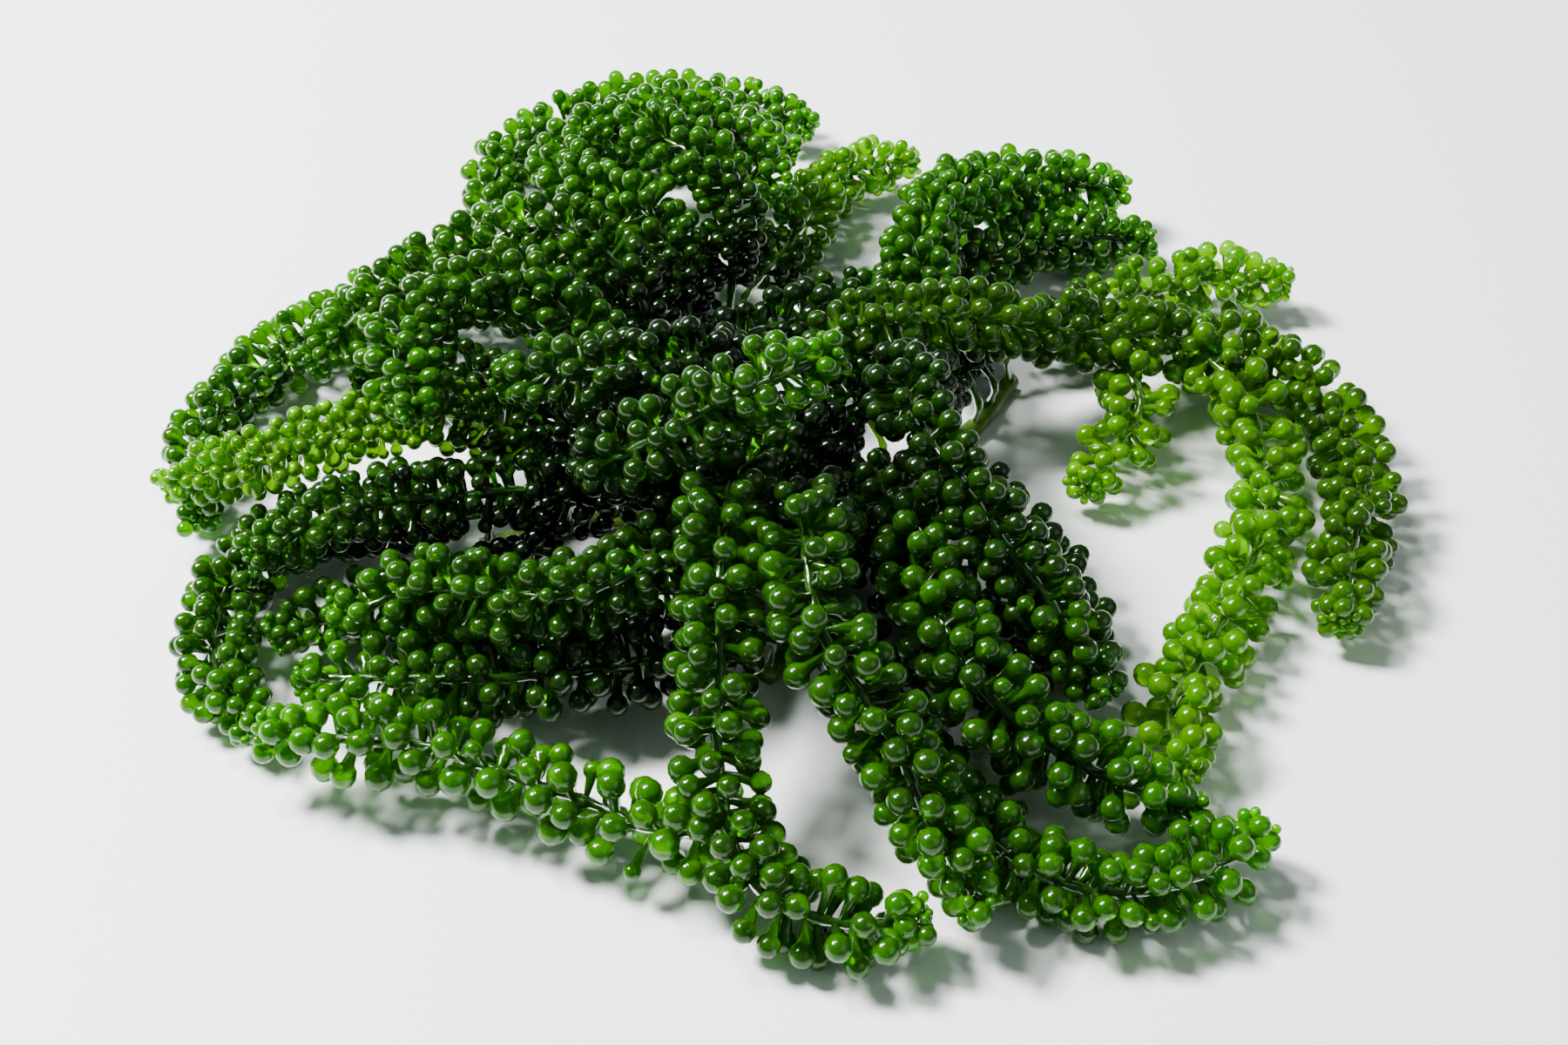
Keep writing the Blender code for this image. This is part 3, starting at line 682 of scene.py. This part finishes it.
@dataclass
class BerryMould:
    """The berry that all berries are cast from: a round bead that narrows into a stalk.

    Its lengths are in bead radii.

    Args:
        sides: Faces round the bead.
        bead_rings: Rings of faces from the top of the bead to its stalk.
        bead_turn: Angle from the top of the bead down to where the stalk leaves it.
        stalk_radius: Radius of the stalk's thin end.
        stalk_length: Distance from the bead's middle to the stalk's end, inside the axis.
        fade_depth: How far under the bead's middle the stalk's colour begins.
        fade_length: Length over which it takes over.
        slack: Distance within which points count as one, or as the stalk's end.
    """

    sides: int = 10
    bead_rings: int = 5
    bead_turn: float = math.radians(150)
    stalk_radius: float = 0.2
    stalk_length: float = 2.2
    fade_depth: float = 0.6
    fade_length: float = 0.9
    slack: float = 0.01

    def __post_init__(self) -> None:
        """Spins the profile into the mould's mesh, which knows how far down the stalk each point is."""
        shape = bmesh.new()
        profile = [shape.verts.new((across, 0, up)) for across, up in self.profile()]
        edges = [shape.edges.new(pair) for pair in zip(profile, profile[1:])]
        bmesh.ops.spin(shape, geom=profile + edges, cent=(0, 0, 0), axis=(0, 0, 1), angle=2 * math.pi,
                       steps=self.sides, use_merge=True)
        bmesh.ops.remove_doubles(shape, verts=shape.verts, dist=self.slack)
        bmesh.ops.holes_fill(shape, edges=shape.edges, sides=self.sides)
        bmesh.ops.recalc_face_normals(shape, faces=shape.faces)
        down = shape.verts.layers.float.new(DOWN)
        for vert in shape.verts:
            vert[down] = float(smoothstep((-vert.co.z - self.fade_depth) / self.fade_length))
        self.mesh = as_mesh(shape, "berry_mould")

    def profile(self) -> list[tuple[float, float]]:
        """Outline of half the berry, from the top down: distance from its middle line, and height."""
        turns = np.linspace(0, self.bead_turn, self.bead_rings + 1)
        bead = [(math.sin(turn), math.cos(turn)) for turn in turns]
        return bead + [(self.stalk_radius, -self.stalk_length)]

    def cast(self, shape: bmesh.types.BMesh, berry: Berry) -> list[bmesh.types.BMVert]:
        """Adds a berry to a mesh, with its stalk drawn out to where it grows from.

        Args:
            shape: The mesh, in metres.
            berry: The berry.

        Returns:
            The berry's vertices.
        """
        first = len(shape.verts)
        shape.from_mesh(self.mesh)
        shape.verts.ensure_lookup_table()
        fresh = shape.verts[first:]
        lean = Vector(berry.bead - berry.root)
        foot = [vert for vert in fresh if vert.co.z < self.slack - self.stalk_length]
        bmesh.ops.translate(shape, vec=(0, 0, self.stalk_length - lean.length / berry.radius), verts=foot)
        turn = lean.to_track_quat("Z", "Y")
        place = Matrix.LocRotScale(Vector(berry.bead) * MM, turn, Vector([berry.radius * MM] * 3))
        bmesh.ops.transform(shape, matrix=place, verts=fresh)
        return fresh


@dataclass
class Coat:
    """Every berry of the clump.

    Args:
        berries: The berries, frond by frond.
    """

    berries: list[Berry] = field(default_factory=list)

    def nearby(self, spots: np.ndarray, radii: np.ndarray) -> tuple[np.ndarray, np.ndarray]:
        """Finds the pairs of balls that are close enough to meet.

        Args:
            spots: Middles of the balls.
            radii: Their radii.

        Returns:
            Numbers of the first and of the second balls of each pair.
        """
        tree = KDTree(len(spots))
        for number, spot in enumerate(spots):
            tree.insert(Vector(spot), number)
        tree.balance()
        first = []
        second = []
        widest = float(radii.max())
        for number, (spot, radius) in enumerate(zip(spots, radii)):
            for _, other, _ in tree.find_range(Vector(spot), float(radius) + widest + CROWD_MARGIN):
                if other > number:
                    first.append(number)
                    second.append(other)
        return np.array(first), np.array(second)

    def loosen(self, axes: np.ndarray, axis_owners: np.ndarray) -> None:
        """Slides the beads apart round their axes until they hardly press into one another.

        Args:
            axes: Points along the axes of all the lines, which no bead of another line may enter.
            axis_owners: Number of the line of each of those points.
        """
        roots = np.array([berry.root for berry in self.berries])
        beads = np.array([berry.bead for berry in self.berries])
        berries = len(beads)
        radii = np.array([berry.radius for berry in self.berries] + [AXIS_RADIUS] * len(axes))
        owners = np.concatenate([[berry.owner for berry in self.berries], axis_owners])
        homes = beads.copy()
        stalks = np.linalg.norm(beads - roots, axis=1)
        for turn in range(CROWD_ROUNDS):
            spots = np.vstack([beads, axes])
            if turn % CROWD_PAIR_ROUNDS == 0:
                first, second = self.nearby(spots, radii)
                meet = (first < berries) & ((second < berries) | (owners[first] != owners[second]))
                first, second = first[meet], second[meet]
            apart = spots[first] - spots[second]
            away = np.linalg.norm(apart, axis=1) + TINY
            press = np.clip(CROWD_SHARE * (radii[first] + radii[second]) - away, 0, None)
            step = apart * (0.5 * press / away)[:, None]
            moved = np.zeros_like(spots)
            np.add.at(moved, first, step)
            np.add.at(moved, second, -step)
            beads += moved[:berries] + CROWD_HOLD * (homes - beads)
            lean = beads - roots
            length = np.linalg.norm(lean, axis=1)
            kept = np.clip(length, CROWD_REACH[0] * stalks, CROWD_REACH[1] * stalks)
            beads = roots + lean * (kept / length)[:, None]
            beads[:, 2] = np.maximum(beads[:, 2], radii[:berries] + FLOOR_GAP)
        for berry, bead in zip(self.berries, beads):
            berry.bead = bead


def station(place: np.ndarray, directions: Directions, radius: float) -> Matrix:
    """Where one ring of a tube stands.

    Args:
        place: The ring's middle, in millimetres.
        directions: The line's tangent there and two directions square to it.
        radius: The ring's radius, in millimetres.

    Returns:
        The matrix that turns a ring of radius 1 round +Z into it, in metres.
    """
    tangent, across, up = (Vector(direction) for direction in directions)
    turn = Matrix((across, up, tangent)).transposed().to_4x4()
    return Matrix.Translation(Vector(place) * MM) @ turn @ Matrix.Scale(radius * MM, 4)


def sweep(shape: bmesh.types.BMesh, line: np.ndarray, radii: np.ndarray, sides: int
          ) -> list[bmesh.types.BMVert]:
    """Extrudes a ring along a line into a closed tube.

    Args:
        shape: The mesh that the tube is added to.
        line: Points along the tube's axis, in millimetres.
        radii: Its radius at each point, in millimetres.
        sides: Number of faces round it.

    Returns:
        The tube's vertices.
    """
    rings = [station(*ring) for ring in zip(line, frames_along(line), radii)]
    disc = bmesh.ops.create_circle(shape, cap_ends=True, segments=sides, radius=1.0, matrix=rings[0])
    verts = list(disc["verts"])
    tube = list(verts)
    edges = list(dict.fromkeys(edge for vert in verts for edge in vert.link_edges))
    for before, after in zip(rings, rings[1:]):
        grown = bmesh.ops.extrude_edge_only(shape, edges=edges)["geom"]
        verts = [part for part in grown if isinstance(part, bmesh.types.BMVert)]
        edges = [part for part in grown if isinstance(part, bmesh.types.BMEdge)]
        bmesh.ops.transform(shape, matrix=after @ before.inverted(), verts=verts)
        tube += verts
    bmesh.ops.contextual_create(shape, geom=edges)
    return tube


def finish_piece(shape: bmesh.types.BMesh, name: str, material: bpy.types.Material,
                 node: str) -> None:
    """Makes a shape a finished piece of the clump.

    Args:
        shape: The piece's shape, in metres.
        name: The piece's name.
        material: Its finish.
        node: The node that it stands for.
    """
    for face in shape.faces:
        face.smooth = True
    mesh = as_mesh(shape, name)
    mesh.materials.append(material)
    piece = show(name, mesh)
    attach(piece, BODY)
    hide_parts(node)


@dataclass
class Frond:
    """One frond with its forks: thin axes, and berries all round them.

    A pair of shares gives a size as a fixed share and a share that grows with the frond's thickness or, on a
    bud, with its distance from the middle of the tip.

    Args:
        name: The end of its node's name.
        lines: Points along each of its lines, close together.
        numbers: Number of each of its lines in the whole clump.
        fork_start: Bare length at the start of a fork, in millimetres.
        bare_tip: Bare length before a tip's buds, in millimetres.
        lean: How far the berries lean towards the tip, as a share of their distance from the axis.
        tip_lean: How much more they lean at the tip.
        waver: How far they stray from even places, in millimetres along the axis and in radians round it.
        berry_sizes: Pair of shares for a berry's size.
        size_spread: How much berries differ in size.
        small_chance: How often one is small.
        small_size: How large that one is.
        reach_spread: How much they differ in distance from the axis.
        tint_spread: How much they differ in tint.
        tip_tint: How much lighter they are at the tip.
        bud_count: Buds at each growing tip.
        bud_radius: Radius of the largest bud, in millimetres.
        bud_tilt: How far the outermost bud is tilted from the axis.
        bud_sizes: Pair of shares for a bud's size.
        bud_reaches: Such a pair for their distance from the tip, in millimetres.
        bud_tint: How much lighter the buds are.
        axis_share: Radius of the real axis, as a share of the solids' axis.
        axis_sizes: Pair of shares for the axis.
        axis_sides: Faces round the axis.
        knot_height: How far the axis swells and narrows, as a share of its radius.
        knot_turn: How fast it does so, in radians a ring.
    """

    name: str
    lines: dict[str, np.ndarray]
    numbers: dict[str, int]
    fork_start: float = 2.0
    bare_tip: float = 0.3
    lean: float = 0.22
    tip_lean: float = 0.5
    waver: float = 0.3
    berry_sizes: tuple[float, float] = (0.55, 0.45)
    size_spread: float = 0.06
    small_chance: float = 0.05
    small_size: float = 0.72
    reach_spread: float = 0.09
    tint_spread: float = 0.07
    tip_tint: float = 0.25
    bud_count: int = 9
    bud_radius: float = 0.62
    bud_tilt: float = math.radians(85)
    bud_sizes: tuple[float, float] = (0.6, 0.4)
    bud_reaches: tuple[float, float] = (1.0, 1.1)
    bud_tint: float = 0.35
    axis_share: float = 0.74
    axis_sizes: tuple[float, float] = (0.75, 0.25)
    axis_sides: int = 8
    knot_height: float = 0.2
    knot_turn: float = 2.1

    def sow(self, coat: Coat, rng: np.random.Generator) -> None:
        """Sets the berries of every line by the golden angle, and the buds at its tip.

        Args:
            coat: The clump's coat, which the berries are added to.
            rng: Source of the small differences between berries.
        """
        for branch, line in self.lines.items():
            look = LOOKS[self.name, branch]
            fork = branch != MAIN
            along = lengths_along(line)
            frames = frames_along(line)
            fill = swell(line, fork)
            start = self.fork_start if fork else BARE_FOOT
            outer = look.reach()
            for number, distance in enumerate(np.arange(start, along[-1] - self.bare_tip, look.pitch())):
                i = int(np.searchsorted(along, distance + rng.normal(0, self.waver)).clip(0, len(line) - 1))
                tangent, across, up = frames[i]
                to_tip = along[-1] - distance
                turn = number * GOLDEN_ANGLE + rng.normal(0, self.waver)
                size = self.berry_sizes[0] + self.berry_sizes[1] * fill[i]
                radius = BERRY_RADIUS * look.berry * size * rng.normal(1, self.size_spread)
                if rng.random() < self.small_chance:
                    radius *= self.small_size
                reach = (outer * fill[i] - radius) * rng.normal(1, self.reach_spread)
                lean = self.lean + self.tip_lean * float(smoothstep(1 - to_tip / TIP_TAPER))
                outward = math.cos(turn) * across + math.sin(turn) * up + lean * tangent
                bead = line[i] + outward / np.linalg.norm(outward) * reach
                # Painted shade: a main line's berries are darkened at its foot, and the shade fades out over
                # the look's shade length.
                light = 1.0 if fork else float(smoothstep((distance - BARE_FOOT) / look.shade))
                tint = light * (look.tone.value + rng.normal(0, self.tint_spread))
                tint += self.tip_tint * float(smoothstep(1 - to_tip / (2 * TIP_TAPER)))
                tint = float(np.clip(tint, 0, 1))
                coat.berries.append(Berry(line[i], bead, radius, tint, self.numbers[branch]))
            self.bud(coat, line[-1], frames[-1], self.numbers[branch], look)

    def bud(self, coat: Coat, tip: np.ndarray, directions: Directions, owner: int, look: FrondLook) -> None:
        """Sets the small pale buds round a growing tip.

        Args:
            coat: The clump's coat, which the buds are added to.
            tip: The end of the axis.
            directions: The line's tangent there and two directions square to it.
            owner: Number of the line.
            look: How that line looks.
        """
        tangent, across, up = directions
        for number in range(self.bud_count):
            share = (number + 0.5) / self.bud_count
            tilt = self.bud_tilt * math.sqrt(share)
            turn = number * GOLDEN_ANGLE
            sideways = math.cos(turn) * across + math.sin(turn) * up
            outward = math.cos(tilt) * tangent + math.sin(tilt) * sideways
            radius = self.bud_radius * look.berry * (self.bud_sizes[0] + self.bud_sizes[1] * share)
            bead = tip + outward * (self.bud_reaches[0] + self.bud_reaches[1] * share)
            coat.berries.append(Berry(tip, bead, radius, min(1.0, look.tone.value + self.bud_tint), owner))

    def build(self, coat: Coat, mould: BerryMould, material: bpy.types.Material, slot: Slot) -> None:
        """Builds the frond's mesh from its axes and its berries.

        Args:
            coat: The clump's coat.
            mould: The shape that the berries are cast from.
            material: The frond's finish.
            slot: The record's slot of that finish, which is not used.
        """
        shape = bmesh.new()
        tint = shape.verts.layers.float.new(TINT)
        down = shape.verts.layers.float.new(DOWN)
        for branch, line in self.lines.items():
            fork = branch != MAIN
            route = line[::THINNING]
            if not fork:
                route = np.vstack([route[0] * (1, 1, 0) + (0, 0, RUNNER_AXIS_HEIGHT), route])
            knots = 1 + self.knot_height * np.sin(self.knot_turn * np.arange(len(route)))
            fill = self.axis_sizes[0] + self.axis_sizes[1] * swell(route, fork)
            radii = self.axis_share * AXIS_RADIUS * knots * fill
            for vert in sweep(shape, route, radii, self.axis_sides):
                vert[tint] = LOOKS[self.name, branch].tone.value
                vert[down] = 1.0
        for berry in coat.berries:
            if berry.owner in self.numbers.values():
                for vert in mould.cast(shape, berry):
                    vert[tint] = berry.tint
        node = FROND + self.name
        finish_piece(shape, node + "_berries", material, node)


@dataclass
class Runner:
    """The creeping stem that the fronds grow from.

    Args:
        radius: Its radius, in millimetres.
        axis_height: Height of its axis over the floor, in millimetres.
        step: Distance between its rings, in millimetres.
        sides: Faces round it.
        wave_height: How far it swells and narrows, as a share of its radius.
        wave_turn: How fast it does so, in radians a ring.
    """

    radius: float = RUNNER_RADIUS
    axis_height: float = RUNNER_AXIS_HEIGHT
    step: float = 1.0
    sides: int = 16
    wave_height: float = 0.05
    wave_turn: float = 1.3

    def lines(self) -> dict[str, np.ndarray]:
        """Points along each of its branches."""
        return {branch: smooth_line([(x, y, self.axis_height) for x, y in plan], self.step)
                for branch, plan in RUNNER_ROUTES.items()}

    def feet(self) -> dict[str, Point]:
        """Where each frond stands on it, evenly spaced along each branch."""
        lines = self.lines()
        height = self.axis_height + self.radius + GAP
        feet = {}
        for branch, names in FEET.items():
            line = lines[branch]
            first = MAIN_FOOT_SHARE if branch == MAIN else BRANCH_FOOT_SHARE
            for name, share in zip(names, np.linspace(first, LAST_FOOT_SHARE, len(names))):
                x, y, _ = line[round(share * (len(line) - 1))]
                feet[name] = (x, y, height)
        return feet

    def build(self) -> None:
        """Builds the stem, with its underside pressed flat where it lies on the floor."""
        shape = bmesh.new()
        for line in self.lines().values():
            waves = 1 + self.wave_height * np.sin(np.arange(len(line)) * self.wave_turn)
            sweep(shape, line, self.radius * waves, self.sides)
        everything = list(shape.verts) + list(shape.edges) + list(shape.faces)
        bmesh.ops.bisect_plane(shape, geom=everything, plane_co=(0, 0, 0), plane_no=(0, 0, -1),
                               clear_outer=True)
        open_edges = [edge for edge in shape.edges if edge.is_boundary]
        bmesh.ops.holes_fill(shape, edges=open_edges)
        bmesh.ops.recalc_face_normals(shape, faces=shape.faces)
        finish_piece(shape, "runner_stem", RUNNER_SKIN.material(), "runner")


@dataclass
class Clump:
    """The whole plant: the runner and its fronds.

    Args:
        runner: The creeping stem.
        fine_step: Distance between the points of the fronds' lines, in millimetres.
    """

    runner: Runner = field(default_factory=Runner)
    fine_step: float = 0.25

    def starting_lines(self) -> Lines:
        """Every frond's lines along their routes, before they are bent clear."""
        feet = self.runner.feet()
        lines = {}
        for name, branches in FROND_ROUTES.items():
            for branch, route in branches.items():
                if branch == MAIN:
                    x, y, z = feet[name]
                    route = [(x, y, z), (x, y, z + FOOT_RISE)] + route
                lines[name, branch] = smooth_line(route)
        return lines

    def fronds(self) -> list[Frond]:
        """Settles the lines and gives back the fronds."""
        settled = Tangle(self.starting_lines(), self.runner.lines()).settle()
        numbers = {key: number for number, key in enumerate(settled)}
        fronds = []
        for name, branches in FROND_ROUTES.items():
            lines = {branch: smooth_line(settled[name, branch], self.fine_step) for branch in branches}
            fronds.append(Frond(name, lines, {branch: numbers[name, branch] for branch in branches}))
        return fronds

    def build(self) -> None:
        """Builds the runner and every frond."""
        self.runner.build()
        log.info("runner")
        fronds = self.fronds()
        coat = Coat()
        rng = np.random.default_rng(SEED)
        axes: dict[int, np.ndarray] = {}
        for frond in fronds:
            frond.sow(coat, rng)
            axes.update((frond.numbers[branch], line[::THINNING]) for branch, line in frond.lines.items())
        owners = [np.full(len(axis), number) for number, axis in axes.items()]
        coat.loosen(np.vstack(list(axes.values())), np.concatenate(owners))
        log.info("%d berries", len(coat.berries))
        mould = BerryMould()
        skins = {Slot.DARK: DARK_BERRIES.material(), Slot.BRIGHT: BRIGHT_BERRIES.material()}
        for frond in fronds:
            slot = Slot.BRIGHT if frond.name in BRIGHT_FRONDS else Slot.DARK
            frond.build(coat, mould, skins[slot], slot)
            log.info(FROND + frond.name)


@dataclass(frozen=True)
class Lamp:
    """A soft lamp.

    Args:
        name: The lamp's name.
        place: Where it hangs, in metres.
        size: Width and height of its panel, in metres.
        power: Its power, in watts.
        colour: Its colour.
    """

    name: str
    place: Point
    size: tuple[float, float]
    power: float
    colour: Point = (1.0, 1.0, 1.0)

    def hang(self) -> None:
        """Hangs the lamp, facing the clump."""
        lamp = bpy.data.lights.new(self.name, "AREA")
        lamp.shape = "RECTANGLE"
        lamp.size, lamp.size_y = self.size
        lamp.energy = self.power
        lamp.color = self.colour
        hung = show(self.name, lamp)
        hung.location = self.place
        hung.rotation_euler = (-Vector(self.place)).to_track_quat("-Z", "Y").to_euler()


@dataclass
class Studio:
    """The pale floor, the soft light and the camera at the photograph's viewing angle.

    Args:
        floor_size: Half the width of the floor, in metres.
        floor_squares: Faces along each side of it.
        sky: Colour of the light from all round.
        sky_strength: Its strength.
        lamps: The lamps.
        contrast: The colour management's look.
        lens: The camera's focal length, in millimetres.
        sensor: Width of its sensor, in millimetres.
        aim_height: Height of the point that its distance is measured from, in metres.
        distance: Distance of the camera from that point, in metres.
        elevation: Angle of that distance over the floor.
        pitch: How far the camera looks down.
    """

    floor_size: float = 1.5
    floor_squares: int = 8
    sky: Colour = (0.86, 0.93, 1.0, 1.0)
    sky_strength: float = 0.21
    lamps: tuple[Lamp, ...] = (
        Lamp("key", (-0.42, 0.10, 0.56), (0.16, 0.16), 13.5),
        Lamp("second", (-0.20, 0.16, 0.62), (0.10, 0.10), 2.2),
        Lamp("window", (-0.60, 0.70, 0.22), (0.90, 0.40), 1.2, (0.92, 0.97, 1.0)),
        Lamp("fill", (0.55, -0.35, 0.50), (0.60, 0.60), 0.8),
    )
    contrast: str = "AgX - Medium High Contrast"
    lens: float = 48.0
    sensor: float = 36.0
    aim_height: float = 0.016
    distance: float = 0.224
    elevation: float = math.radians(39.5)
    pitch: float = math.radians(43)

    def build(self) -> None:
        """Lays the floor, hangs the lamps and sets up the camera."""
        shape = bmesh.new()
        bmesh.ops.create_grid(shape, x_segments=self.floor_squares, y_segments=self.floor_squares,
                              size=self.floor_size)
        mesh = as_mesh(shape, "floor")
        mesh.materials.append(FLOOR_PAINT.material())
        show("floor", mesh)
        for lamp in self.lamps:
            lamp.hang()
        world = bpy.data.worlds.new("soft_sky")
        world.use_nodes = True
        background = world.node_tree.nodes["Background"]
        background.inputs["Color"].default_value = self.sky
        background.inputs["Strength"].default_value = self.sky_strength
        bpy.context.scene.world = world
        bpy.context.scene.view_settings.look = self.contrast
        self.set_camera()
        log.info("studio")

    def set_camera(self) -> None:
        """Puts the camera where the photograph was taken from."""
        camera = bpy.data.cameras.new("photo_camera")
        camera.sensor_width = self.sensor
        camera.lens = self.lens
        held = show("photo_camera", camera)
        height = self.aim_height + self.distance * math.sin(self.elevation)
        held.location = (0, -self.distance * math.cos(self.elevation), height)
        held.rotation_euler = (math.pi / 2 - self.pitch, 0, 0)
        bpy.context.scene.camera = held


def main() -> None:
    """Builds the clump and the studio."""
    logging.basicConfig(level=logging.INFO, format="%(name)s: %(message)s")
    Studio().build()
    Clump().build()


if __name__ == "__main__":
    main()
